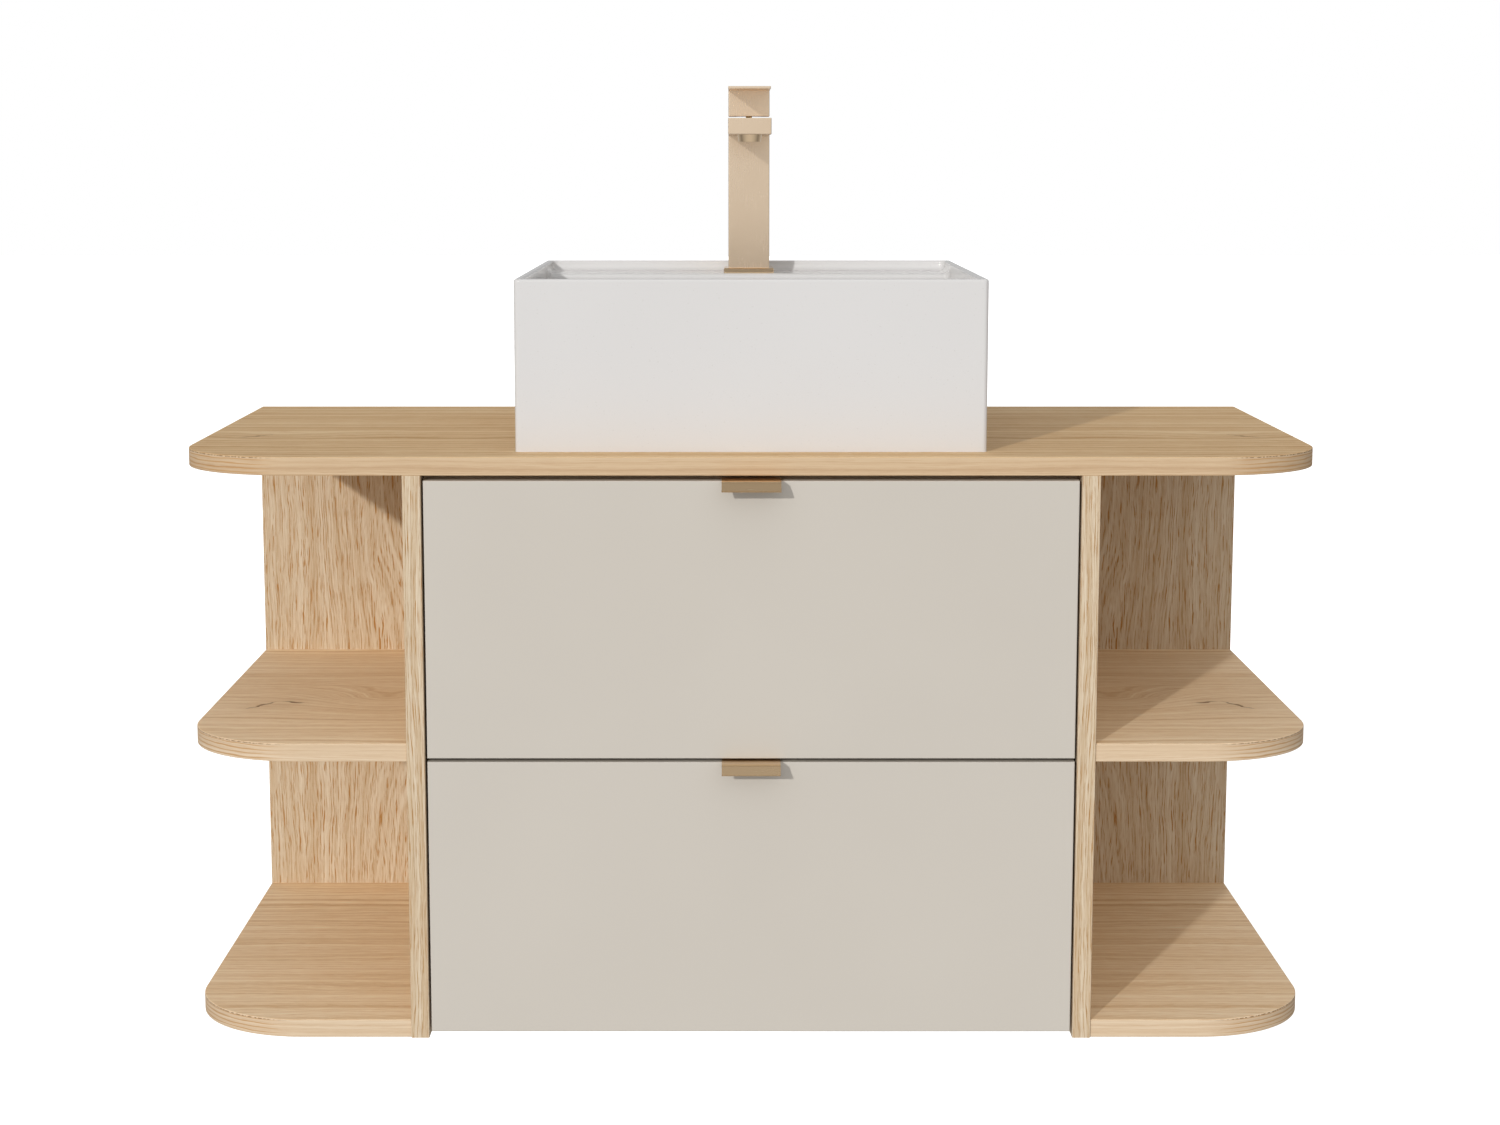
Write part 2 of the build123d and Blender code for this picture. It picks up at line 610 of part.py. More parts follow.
def bowl_cavity():
    """The water space and the shallow space above the tap deck, as one side profile."""
    above = RIM + 20
    profile = FilletPolyline(
        (INNER_FRONT, above),
        (INNER_FRONT, BOWL_BASE),
        (DECK_FRONT, BOWL_BASE),
        (DECK_FRONT, DECK),
        (INNER_BACK, DECK),
        (INNER_BACK, above),
        radius=(BOWL_FLOOR_R, BOWL_FLOOR_R, DECK_EDGE_R, DECK_BACK_R),
    )
    lid = Edge.make_line((INNER_BACK, above), (INNER_FRONT, above))
    outline = make_face(profile.edges() + [lid])
    cavity = extrude(Plane.YZ * outline, amount=INNER_HALF, both=True)
    sides = [edge for edge in cavity.edges()
             if abs(abs(edge.center().X) - INNER_HALF) < 0.01 and edge.center().Z < above - 1]
    return fillet(sides, BOWL_SIDE_R)


def basin():
    """Rectangular glazed ceramic vessel with a raised tap deck along its back."""
    half = BASIN_WIDTH / 2
    body = block((-half, half), (BASIN_FRONT, BASIN_BACK), (WORKTOP_TOP, RIM))
    body = fillet(body.edges().filter_by(Axis.Z), CORNER_R)
    body -= bowl_cavity()
    body = fillet(body.edges().group_by(Axis.Z)[-1], RIM_R)
    body -= taper(*DRAIN_SLOPE_R, DRAIN_SEAT, BOWL_BASE, 0, DRAIN_Y)
    body -= drum(DRAIN_HOLE_R, WORKTOP_TOP, BOWL_BASE + 5, 0, DRAIN_Y)
    body -= drum(TAP_HOLE_R, DECK - 20, RIM, 0, TAP_Y)
    foot = (-half + FOOT_WIDTH, half - FOOT_WIDTH)
    under_bowl = (BASIN_FRONT + FOOT_WIDTH, DECK_FRONT - BOWL_REAR_WALL / 3)
    under_deck = (DECK_FRONT + BOWL_REAR_WALL * 2 / 3, BASIN_BACK - FOOT_WIDTH)
    body -= block(foot, under_bowl, (WORKTOP_TOP, BASIN_UNDERSIDE))
    return body - block(foot, under_deck, (WORKTOP_TOP, DECK - DECK_THICKNESS))


FLANGE_R = 32.0
GASKET_R = 30.0
GASKET_THICKNESS = 1.5
FLANGE_LOW = DRAIN_SEAT + GASKET_THICKNESS
FLANGE_HIGH = FLANGE_LOW + 2.5
TAIL_END = WORKTOP_TOP - 50.0
PLUG_STEM_R = 4.0
PLUG_CLEARANCE = 0.05
PLUG_LIFT = 8.0


def drain_body():
    """Flanged waste fitting with a guide for the plug's stem across its bore."""
    bore = 17.5
    body = drum(FLANGE_R, FLANGE_LOW, FLANGE_HIGH, 0, DRAIN_Y)
    body += drum(THREAD_R, TAIL_END, FLANGE_LOW, 0, DRAIN_Y)
    body -= drum(bore, TAIL_END, FLANGE_HIGH, 0, DRAIN_Y)
    body -= taper(bore, 24.0, FLANGE_LOW - 2, FLANGE_HIGH, 0, DRAIN_Y)
    guide_z = (FLANGE_LOW - 22.0, FLANGE_LOW - 10.0)
    spokes = block((-bore - 1, bore + 1), (DRAIN_Y - 2, DRAIN_Y + 2), guide_z)
    spokes += block((-2, 2), (DRAIN_Y - bore - 1, DRAIN_Y + bore + 1), guide_z)
    spokes += drum(7.0, *guide_z, 0, DRAIN_Y)
    body += spokes
    return body - drum(PLUG_STEM_R + PLUG_CLEARANCE, *guide_z, 0, DRAIN_Y)


def drain_gaskets():
    """One ring under the flange and one under the basin."""
    inner = THREAD_R + 0.3
    upper = tube(GASKET_R, inner, DRAIN_SEAT, FLANGE_LOW, 0, DRAIN_Y)
    lower = tube(GASKET_R, inner, BASIN_UNDERSIDE - 4, BASIN_UNDERSIDE, 0, DRAIN_Y)
    return [upper, lower]


def drain_back_nut():
    return hex_ring(56.0, THREAD_R + FIT, BASIN_UNDERSIDE - 14, BASIN_UNDERSIDE - 4, 0, DRAIN_Y)


def drain_plug():
    """Push-to-open plug: a domed cap on a guided stem."""
    low = FLANGE_HIGH + 0.4
    cap = drum(29.0, low, low + 3.5, 0, DRAIN_Y)
    cap = fillet(cap.edges().group_by(Axis.Z)[-1], 2.5)
    stem = drum(PLUG_STEM_R, FLANGE_LOW - 30.0, low + 1, 0, DRAIN_Y)
    return cap + stem


NUT_LENGTH = 20.0
TRAP_TOP = TAIL_END - 2.0
TRAP_LOW = OUTLET_Z - 35.0
CUP_LOW = OUTLET_Z - 68.0
TRAP_WALL = 2.5
DIP_R = 15.0
OUTLET_END = DRAIN_Y + 52.0


def trap_body():
    """Upper half of the bottle trap: inlet collar, dip tube and side outlet."""
    shell_top = OUTLET_Z + 26.0
    body = drum(TRAP_R, TRAP_LOW, shell_top, 0, DRAIN_Y)
    body += drum(THREAD_R, shell_top, TRAP_TOP, 0, DRAIN_Y)
    shoulder = [edge for edge in body.edges() if abs(edge.center().Z - shell_top) < 0.01]
    body = fillet(shoulder[:1], 2.0)
    body += rod(PIPE_R + 3, (0, DRAIN_Y, OUTLET_Z), (0, OUTLET_END, OUTLET_Z))
    body -= drum(TRAP_R - TRAP_WALL, TRAP_LOW, shell_top - TRAP_WALL, 0, DRAIN_Y)
    body -= rod(PIPE_R + 0.3, (0, DRAIN_Y, OUTLET_Z), (0, OUTLET_END, OUTLET_Z))
    body += drum(DIP_R, CUP_LOW + 18, TRAP_TOP, 0, DRAIN_Y)
    return body - drum(DIP_R - 2, CUP_LOW + 18, TRAP_TOP, 0, DRAIN_Y)


def trap_cup():
    """Screw-on cup that is taken off to clean the trap."""
    collar = tube(TRAP_R + 4, TRAP_R + 0.3, TRAP_LOW - 2, TRAP_LOW + 12, 0, DRAIN_Y)
    cup = drum(TRAP_R, CUP_LOW, TRAP_LOW - 2, 0, DRAIN_Y)
    cup = fillet(cup.edges().group_by(Axis.Z)[0], 9.0)
    cup -= drum(TRAP_R - TRAP_WALL, CUP_LOW + 9, TRAP_LOW, 0, DRAIN_Y)
    ledge = tube(TRAP_R + 4, TRAP_R - TRAP_WALL, TRAP_LOW - 4, TRAP_LOW - 0.3, 0, DRAIN_Y)
    return cup + ledge + collar


def trap_nuts():
    """The union nuts of the trap's inlet and outlet."""
    inlet = hex_ring(52.0, THREAD_R + FIT, TRAP_TOP - 8, TRAP_TOP + NUT_LENGTH - 6, 0, DRAIN_Y)
    ring = rod(PIPE_R + 7, (0, OUTLET_END - 10, OUTLET_Z), (0, OUTLET_END + 8, OUTLET_Z))
    ring -= rod(PIPE_R + 3 + FIT, (0, OUTLET_END - 10, OUTLET_Z), (0, OUTLET_END + 0.1, OUTLET_Z))
    ring -= rod(PIPE_R + FIT, (0, OUTLET_END, OUTLET_Z), (0, OUTLET_END + 8, OUTLET_Z))
    return [inlet, ring]


STOP_BEAD_Y = OUTLET_END + 8.5


def waste_pipe():
    """Pipe from the trap to the wall, with a stop bead just outside the outlet nut."""
    start = (0, OUTLET_END - 16, OUTLET_Z)
    end = (0, WASTE_PIPE_END, OUTLET_Z)
    pipe = rod(PIPE_R, start, end)
    pipe += rod(PIPE_R + 1.2, (0, STOP_BEAD_Y, OUTLET_Z), (0, STOP_BEAD_Y + 2.5, OUTLET_Z))
    return pipe - rod(PIPE_R - 2, start, end)


# ---- tap ----------------------------------------------------------------------------
TAP_EDGE = 0.7
SHANK_R = 16.5               # centres the tap in its hole
SHANK_LOW = DECK - 4.0
POCKET_R = 14.6              # bore of the column, below the cartridge
INLET_LOW = RIM + 1.0        # underside of the inlet block
INLET_HIGH = INLET_LOW + 16.0   # top of the ports
INLET_X = 8.0
INLET_Y = TAP_Y - 3.0
INLET_R = 4.6
INLET_DEPTH = 14.0
PORT_X = 6.5                 # joins an inlet to its water passage
PORT_R = 3.0
PASSAGE_X = 4.5
PASSAGE_R = 2.5
STUD_Y = TAP_Y + 8.5
STUD_R = 4.0
STUD_DEPTH = 12.0            # in the inlet block
CARTRIDGE_LOW = COLUMN_TOP - 42.0
CARTRIDGE_HIGH = COLUMN_TOP - 6.3
AERATOR_R = 11.5
AERATOR_NECK_R = 9.5
SPOUT_BORE_R = 4.0


def tap_square(low, high, y_low=None):
    """The tap's square section, stretched forwards to y_low where given."""
    front = TAP_Y - TAP_HALF if y_low is None else y_low
    return block((-TAP_HALF, TAP_HALF), (front, TAP_Y + TAP_HALF), (low, high))


def tap_body():
    """Column and spout in one casting, bored for the cartridge and the water."""
    body = tap_square(COLUMN_BOTTOM, COLUMN_TOP) + tap_square(SPOUT_BOTTOM, COLUMN_TOP, SPOUT_TIP)
    body = fillet(body.edges().filter_by(lambda edge: edge.center().Z > COLUMN_BOTTOM + 1), TAP_EDGE)
    body += drum(SHANK_R, SHANK_LOW, COLUMN_BOTTOM, 0, TAP_Y)
    body -= drum(POCKET_R, SHANK_LOW, CARTRIDGE_LOW, 0, TAP_Y)
    body -= drum(CARTRIDGE_R + FIT, CARTRIDGE_LOW, COLUMN_TOP, 0, TAP_Y)
    middle = (SPOUT_BOTTOM + COLUMN_TOP) / 2
    body -= rod(SPOUT_BORE_R, (0, TAP_Y - CARTRIDGE_R + 2, middle), (0, AERATOR_Y, middle))
    return body - drum(AERATOR_NECK_R + FIT, SPOUT_BOTTOM - 1, middle, 0, AERATOR_Y)


def tap_inlet_block():
    """Brass core brazed into the column: inlets and stud thread below, cartridge seat on top."""
    body = drum(POCKET_R - FIT, INLET_LOW, CARTRIDGE_LOW, 0, TAP_Y)
    ports = INLET_LOW + INLET_DEPTH
    for side in (-1, 1):
        body -= drum(INLET_R, INLET_LOW, ports, side * INLET_X, INLET_Y)
        body -= drum(PORT_R, ports, INLET_HIGH, side * PORT_X, INLET_Y)
        body -= drum(PASSAGE_R, INLET_HIGH, CARTRIDGE_LOW, side * PASSAGE_X, INLET_Y)
    return body - drum(STUD_R + FIT, INLET_LOW, INLET_LOW + STUD_DEPTH + 0.5, 0, STUD_Y)


TAP_GASKET_R = 22.0


def tap_base_plate():
    half = BASE_PLATE_SIZE / 2
    plate = block((-half, half), (TAP_Y - half, TAP_Y + half), (DECK, COLUMN_BOTTOM))
    plate = fillet(plate.edges().filter_by(Axis.Z), 1.0)
    plate = chamfer(plate.faces().sort_by(Axis.Z)[-1].edges(), 0.8)
    plate -= drum(SHANK_R + 0.2, DECK, COLUMN_BOTTOM, 0, TAP_Y)
    return plate - drum(TAP_GASKET_R + 0.2, DECK, DECK + GASKET_THICKNESS + 0.1, 0, TAP_Y)


def tap_gasket():
    return tube(TAP_GASKET_R, TAP_HOLE_R + 0.1, DECK, DECK + GASKET_THICKNESS, 0, TAP_Y)


CLAMP_TOP = DECK - DECK_THICKNESS
CLAMP_PLATE = 3.0


def tap_clamp():
    """Horseshoe plate under the deck, open towards the front for the hoses."""
    z = (CLAMP_TOP - CLAMP_PLATE, CLAMP_TOP)
    plate = block((-21, 21), (TAP_Y - 19, TAP_Y + 19), z)
    plate = fillet(plate.edges().filter_by(Axis.Z), 5.0)
    plate -= block((-15, 15), (TAP_Y - 20, TAP_Y + 3), z)
    return plate - drum(STUD_R + 0.2, *z, 0, STUD_Y)


def tap_stud():
    return drum(STUD_R, CLAMP_TOP - 26, INLET_LOW + STUD_DEPTH, 0, STUD_Y)


def tap_nut():
    top = CLAMP_TOP - CLAMP_PLATE
    return hex_ring(13.0, STUD_R + FIT, top - 6.5, top, 0, STUD_Y)


def cartridge():
    """Mixing cartridge with a round pocket for its rotor."""
    body = drum(CARTRIDGE_R, CARTRIDGE_LOW, CARTRIDGE_HIGH, 0, TAP_Y)
    return body - drum(ROTOR_R + 0.3, LEVER_PIVOT_Z - 7, CARTRIDGE_HIGH, 0, TAP_Y)


def cartridge_nut():
    return tube(CARTRIDGE_R, 11.0, CARTRIDGE_HIGH, COLUMN_TOP - 0.8, 0, TAP_Y)


def cartridge_rotor():
    """Turns with the lever and carries the pin on which the lever lifts."""
    low = LEVER_PIVOT_Z - 6.7
    slot = STEM_WIDTH / 2 + 0.2
    rotor = drum(ROTOR_R, low, CARTRIDGE_HIGH - 0.3, 0, TAP_Y)
    rotor -= block((-slot, slot), (TAP_Y - ROTOR_R, TAP_Y + ROTOR_R), (low - 0.3, CARTRIDGE_HIGH))
    rotor += block((-slot - 1, slot + 1), (TAP_Y - ROTOR_R + 3, TAP_Y + ROTOR_R - 3), (low, low + 0.7))
    hole = rod(PIN_R + PIN_FIT, (-ROTOR_R, TAP_Y, LEVER_PIVOT_Z), (ROTOR_R, TAP_Y, LEVER_PIVOT_Z))
    return rotor - hole


def lever_pin():
    return rod(PIN_R, (-ROTOR_R + 0.6, TAP_Y, LEVER_PIVOT_Z), (ROTOR_R - 0.6, TAP_Y, LEVER_PIVOT_Z))


STEM_TOP = LEVER_BOTTOM + 19.0


def stem_block(growth, low, high):
    """The lever stem's section, or with growth the socket that takes it."""
    half_x, half_y = STEM_WIDTH / 2 + growth, STEM_DEPTH / 2 + growth
    return block((-half_x, half_x), (TAP_Y - half_y, TAP_Y + half_y), (low, high))


def lever_stem():
    stem = stem_block(0.0, LEVER_PIVOT_Z - 4, STEM_TOP)
    return stem - rod(PIN_R + PIN_FIT, (-5, TAP_Y, LEVER_PIVOT_Z), (5, TAP_Y, LEVER_PIVOT_Z))


LEVER_BEVEL_START = 4.0      # behind the tap axis
GRUB_R = 2.0
GRUB_Z = LEVER_BOTTOM + 13.0


def lever_bevel():
    """The wedge cut off the block's rear underside, so that it can tip back."""
    run = TAP_HALF - LEVER_BEVEL_START + 1
    rise = run * tan(radians(LEVER_LIFT + 0.5))
    near = (TAP_Y + LEVER_BEVEL_START, LEVER_BOTTOM)
    low = (TAP_Y + LEVER_BEVEL_START + run, LEVER_BOTTOM)
    high = (TAP_Y + LEVER_BEVEL_START + run, LEVER_BOTTOM + rise)
    wedge = Plane.YZ * make_face(Polyline(near, low, high, close=True))
    return extrude(wedge, amount=TAP_SIZE, both=True)


def lever_handle():
    """Square block with a thin plate that reaches forwards over the spout."""
    body = tap_square(LEVER_BOTTOM, LEVER_TOP) - lever_bevel()
    body = fillet(body.edges().filter_by(lambda edge: edge.center().Z < LEVER_TOP - 1), TAP_EDGE)
    plate = tap_square(LEVER_TOP, LEVER_TOP + LEVER_PLATE, TAP_Y - TAP_HALF - LEVER_OVERHANG)
    plate = fillet(plate.edges().filter_by(Axis.Z), 0.6)
    plate = fillet(plate.faces().sort_by(Axis.Z)[-1].edges(), 0.4)
    body += plate
    body -= stem_block(FIT, LEVER_BOTTOM - 1, STEM_TOP + 0.2)
    body -= drum(13.0, LEVER_BOTTOM - 1, LEVER_BOTTOM + 7, 0, TAP_Y)
    return body - rod(GRUB_R + FIT, (0, TAP_Y, GRUB_Z), (0, TAP_Y + TAP_HALF + 1, GRUB_Z))


def lever_grub_screw():
    start = TAP_Y + STEM_DEPTH / 2
    screw_body = rod(GRUB_R, (0, start, GRUB_Z), (0, start + 9, GRUB_Z))
    return screw_body - rod(1.0, (0, start + 6, GRUB_Z), (0, start + 9, GRUB_Z))


def aerator():
    """Tapered outlet with a ring of flow slots, screwed into the spout's underside."""
    thread_top = SPOUT_BOTTOM + 5.0
    low = SPOUT_BOTTOM - 6.7
    body = taper(AERATOR_R - 1.2, AERATOR_R, low, SPOUT_BOTTOM, 0, AERATOR_Y)
    body += drum(AERATOR_NECK_R, SPOUT_BOTTOM, thread_top, 0, AERATOR_Y)
    body -= drum(AERATOR_R - 3.2, low, low + 2, 0, AERATOR_Y)
    for ring_radius, count in ((2.2, 5), (5.6, 12)):
        for place in PolarLocations(ring_radius, count):
            x, y = place.position.X, place.position.Y
            body -= drum(0.8, low, thread_top, x, AERATOR_Y + y)
    return body


# ---- files --------------------------------------------------------------------------
def pieces():
    """Name of each node, and the solid or solids that it holds."""
    shelf_tops = {"middle": MIDDLE_SHELF_TOP, "bottom": PANEL_BOTTOM + BOARD}
    made = {"worktop": worktop(), "back_panel": back_panel()}
    for name, side in (("left", -1), ("right", 1)):
        made[f"{name}_side_panel"] = side_panel(side)
        for level, top in shelf_tops.items():
            made[f"{name}_{level}_shelf"] = shelf(side, top)
    made["front_top_rail"] = front_top_rail()
    made["rear_top_rail"] = rail(REAR_RAIL_Y, REAR_RAIL_Z)
    made["rear_bottom_rail"] = rail(BOTTOM_RAIL_Y, RAIL_BOTTOM_Z)
    made["wall_brackets"] = wall_brackets()
    made["carcass_screws"] = carcass_screws()
    made["panel_dowels"] = panel_dowels()
    drawers = (
        ("upper", UPPER_FRONT_TOP, UPPER_FRONT_BOTTOM, UPPER_BOX_BOTTOM),
        ("lower", LOWER_FRONT_TOP, LOWER_FRONT_BOTTOM, LOWER_BOX_BOTTOM),
    )
    for name, top, bottom, box_bottom in drawers:
        runner_z = box_bottom + DRAWER_SIDE_HEIGHT / 2
        made[f"{name}_drawer_front"] = drawer_front(top, bottom, box_bottom)
        made[f"{name}_drawer_left_side"] = drawer_side(-1, box_bottom)
        made[f"{name}_drawer_right_side"] = drawer_side(1, box_bottom)
        made[f"{name}_drawer_handle"] = handle(top)
        made[f"{name}_drawer_fixings"] = drawer_fixings(top, box_bottom)
        made[f"{name}_cabinet_runners"] = cabinet_runners(runner_z)
        made[f"{name}_middle_runners"] = middle_runners(runner_z)
        made[f"{name}_drawer_runners"] = drawer_runners(runner_z)
    made["upper_drawer_bottom"] = upper_drawer_bottom()
    made["upper_drawer_left_back"] = back_board((-DRAWER_INNER, -LINER_HALF_WIDTH), UPPER_BOX_BOTTOM)
    made["upper_drawer_right_back"] = back_board((LINER_HALF_WIDTH, DRAWER_INNER), UPPER_BOX_BOTTOM)
    made["upper_drawer_siphon_liner"] = siphon_liner()
    made["lower_drawer_bottom"] = bottom_board(LOWER_BOX_BOTTOM)
    made["lower_drawer_back"] = back_board((-DRAWER_INNER, DRAWER_INNER), LOWER_BOX_BOTTOM)
    waste = (drain_body, drain_gaskets, drain_back_nut, drain_plug, trap_body, trap_cup, trap_nuts)
    tap = (tap_body, tap_inlet_block, tap_base_plate, tap_gasket, tap_clamp, tap_stud, tap_nut)
    mixer = (cartridge, cartridge_nut, cartridge_rotor, lever_pin, lever_stem, aerator)
    lever = (lever_handle, lever_grub_screw)
    for make in (basin, *waste, waste_pipe, *tap, *mixer, *lever):
        made[make.__name__] = make()
    return made


def save(name, shape):
    """Write one node: a single solid, or a group of separate solids."""
    if isinstance(shape, list):
        shape = Compound(children=[Compound(children=list(item.solids())) for item in shape])
    export_step(shape, f"parts/{name}.step")


os.makedirs("parts", exist_ok=True)
for node, solid in pieces().items():
    save(node, solid)
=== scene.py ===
"""Looks of the wall-hung oak vanity with its vessel basin and tall square mixer tap.

Everything is in metres, in the frame of the CAD model: X to the right, the front faces -Y,
Z up, with the origin on the wall plane, half way up the cabinet's panels.
"""
from math import radians

import bpy
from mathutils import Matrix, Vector


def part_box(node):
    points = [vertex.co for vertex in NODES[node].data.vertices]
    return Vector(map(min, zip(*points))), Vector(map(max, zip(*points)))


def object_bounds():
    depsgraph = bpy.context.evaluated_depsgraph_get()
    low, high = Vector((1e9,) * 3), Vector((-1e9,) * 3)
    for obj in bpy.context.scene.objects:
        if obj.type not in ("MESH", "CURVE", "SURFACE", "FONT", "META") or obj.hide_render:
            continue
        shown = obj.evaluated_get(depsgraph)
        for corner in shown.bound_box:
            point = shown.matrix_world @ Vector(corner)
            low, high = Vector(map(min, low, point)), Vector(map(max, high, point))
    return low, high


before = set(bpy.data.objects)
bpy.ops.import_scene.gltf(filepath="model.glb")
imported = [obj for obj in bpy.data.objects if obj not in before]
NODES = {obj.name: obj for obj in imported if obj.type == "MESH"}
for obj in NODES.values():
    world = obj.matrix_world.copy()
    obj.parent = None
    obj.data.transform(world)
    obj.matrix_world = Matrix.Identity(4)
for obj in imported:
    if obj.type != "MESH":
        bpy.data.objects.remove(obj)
CAD_LOW, CAD_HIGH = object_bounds()
MM = 0.001
WHITE = (1.0, 1.0, 1.0)


# ---- shader building ----------------------------------------------------------------
class Number:
    """A number in a shader graph. Arithmetic on it adds Math nodes."""

    def __init__(self, graph, socket):
        self.graph = graph
        self.socket = socket

    def __add__(self, other):
        return self.graph.math("ADD", self, other)

    def __sub__(self, other):
        return self.graph.math("SUBTRACT", self, other)

    def __mul__(self, other):
        return self.graph.math("MULTIPLY", self, other)

    def __truediv__(self, other):
        return self.graph.math("DIVIDE", self, other)

    __radd__ = __add__


class Graph:
    """A shader node tree, with short ways to add nodes to it."""

    def __init__(self, tree):
        self.tree = tree

    def feed(self, socket, value):
        """Link a value into a socket, or set a constant on it."""
        if isinstance(value, Number):
            value = value.socket
        if isinstance(value, bpy.types.NodeSocket):
            self.tree.links.new(value, socket)
        else:
            socket.default_value = value

    def node(self, kind, settings=None, **inputs):
        """A new node, with its settings, and its inputs by name."""
        node = self.tree.nodes.new(kind)
        for key, value in (settings or {}).items():
            setattr(node, key, value)
        for name, value in inputs.items():
            self.feed(node.inputs[name], value)
        return node

    def math(self, operation, *values):
        node = self.node("ShaderNodeMath", {"operation": operation})
        for socket, value in zip(node.inputs, values):
            self.feed(socket, value)
        return Number(self, node.outputs[0])

    def split(self, vector):
        """The x, y and z of a vector socket."""
        node = self.node("ShaderNodeSeparateXYZ", Vector=vector)
        return [Number(self, output) for output in node.outputs]

    def place(self):
        """x, y and z of the shaded point in the piece's own space."""
        return self.split(self.node("ShaderNodeTexCoord").outputs["Object"])

    def facing(self):
        """How squarely the surface faces along x, y and z, from 0 to 1."""
        normal = self.split(self.node("ShaderNodeTexCoord").outputs["Normal"])
        return [self.math("ABSOLUTE", component) for component in normal]

    def vector(self, x, y, z):
        """A vector socket from three numbers."""
        node = self.node("ShaderNodeCombineXYZ", X=x, Y=y, Z=z)
        return node.outputs[0]

    def noise(self, x, y, z, detail=2.0, roughness=0.5):
        """Noise over coordinates already scaled to one feature per unit."""
        node = self.node("ShaderNodeTexNoise", Vector=self.vector(x, y, z), Scale=1.0,
                         Detail=detail, Roughness=roughness)
        return Number(self, node.outputs["Fac"])

    def texture(self, spot, per_metre, detail=2.0, roughness=0.5):
        """Noise at spot = (x, y, z); per_metre is one count of features, or one for each."""
        counts = per_metre if isinstance(per_metre, tuple) else (per_metre,) * 3
        x, y, z = [component * count for component, count in zip(spot, counts)]
        return self.noise(x, y, z, detail, roughness)

    def stripes(self, phase, detail=2.0, roughness=0.55):
        """Uneven stripes that follow a phase, one stripe or so per unit."""
        node = self.node("ShaderNodeTexNoise", {"noise_dimensions": "1D"}, W=phase, Scale=1.0,
                         Detail=detail, Roughness=roughness)
        return Number(self, node.outputs["Fac"])

    def step(self, value, zero, one):
        """0 at zero and 1 at one, whichever is larger, smooth between and level outside."""
        settings = {"interpolation_type": "SMOOTHSTEP"}
        node = self.node("ShaderNodeMapRange", settings, Value=value)
        node.inputs["From Min"].default_value = zero
        node.inputs["From Max"].default_value = one
        return Number(self, node.outputs[0])

    def ramp(self, value, *stops):
        """A colour for a number, from (position, colour) stops."""
        node = self.node("ShaderNodeValToRGB", Fac=value)
        elements = node.color_ramp.elements
        while len(elements) < len(stops):
            elements.new(0.5)
        for element, (position, colour) in zip(elements, stops):
            element.position = position
            element.color = (*colour, 1.0)
        return node.outputs["Color"]

    def mix(self, factor, first, second, blend="MIX"):
        """Mix two colours: sockets, or (r, g, b) constants."""
        node = self.node("ShaderNodeMix", {"data_type": "RGBA", "blend_type": blend})
        self.feed(node.inputs[0], factor)
        for socket, colour in ((node.inputs[6], first), (node.inputs[7], second)):
            self.feed(socket, (*colour, 1.0) if isinstance(colour, tuple) else colour)
        return node.outputs[2]


class Finish(Graph):
    """A new material, round its Principled shader."""

    def __init__(self, name, **constants):
        self.material = bpy.data.materials.new(name)
        self.material.use_nodes = True
        super().__init__(self.material.node_tree)
        self.shader = self.tree.nodes["Principled BSDF"]
        for socket, value in constants.items():
            self.shader.inputs[socket.replace("_", " ")].default_value = value

    def bump(self, height, distance, strength):
        """Relief too fine to model; distance is the depth that a height of 1 stands for."""
        node = self.node("ShaderNodeBump", Height=height, Distance=distance, Strength=strength)
        self.feed(self.shader.inputs["Normal"], node.outputs[0])

    def finish(self, colour, roughness):
        """The material, with its colour and roughness fed in."""
        self.feed(self.shader.inputs["Base Color"], colour)
        self.feed(self.shader.inputs["Roughness"], roughness)
        return self.material


# ---- wood ---------------------------------------------------------------------------
OAK_LIGHT = (0.83, 0.695, 0.525)
OAK_MIDDLE = (0.715, 0.550, 0.370)
OAK_DARK = (0.56, 0.375, 0.205)
OAK_PORE = (0.50, 0.245, 0.075)
OAK_KNOT = (0.22, 0.11, 0.045)
OAK_BAND = (0.56, 0.43, 0.31)
BEECH_LIGHT = (0.70, 0.52, 0.34)
BEECH_DARK = (0.52, 0.33, 0.19)

# Fineness of the oak's figure: features per metre along and across the grain
RINGS_ACROSS = 95.0
DRIFT = (4.0, 20.0)
RIPPLE = (30.0, 90.0)
BROAD = (2.4, 14.0)
# and features per metre along the grain but per growth ring across it.
LINES_PER_RING = 4.2
FIBRE = (30.0, 11.0)
DASH = (34.0, 9.5)
FLECK = (90.0, 9.0)

# How much each brings to the tone; the share of the growth rings differs between boards.
LINE_SHARE = 0.34
FIBRE_SHARE = 0.62
BROAD_SHARE = 0.26

OAK_RELIEF = 0.12 * MM
CRACK_WIDTH = 3.0 * MM
CRACK_WANDER = 18 * MM
STAIN_WIDTH = 26 * MM
BAND_LAYERS = 1750.0         # radians per metre up the band: a layer every 3.6 mm
GLUE_LINE_DEPTH = 0.9 * MM   # below the board's upper face
GLUE_LINE_WIDTH = 0.6 * MM
GLUE_LINE_BREAKS = 210.0     # per metre


def swell(graph, along, across, centre, reach):
    """A soft hill of height 1 at centre = (along, across), fading over reach."""
    u = (along - centre[0]) / reach[0]
    v = (across - centre[1]) / reach[1]
    return graph.math("EXPONENT", (u * u + v * v) * -1.0)


def crack(graph, along, across, centre, half_length, slope, wave):
    """A tapering split in the veneer; slope is its run across the grain over its run along."""
    u = (along - centre[0]) / half_length
    line = across - centre[1] - u * (slope * half_length) - (wave - 0.5) * CRACK_WANDER
    v = line / CRACK_WIDTH
    return graph.step(u * u + graph.math("ABSOLUTE", v), 1.0, 0.45)


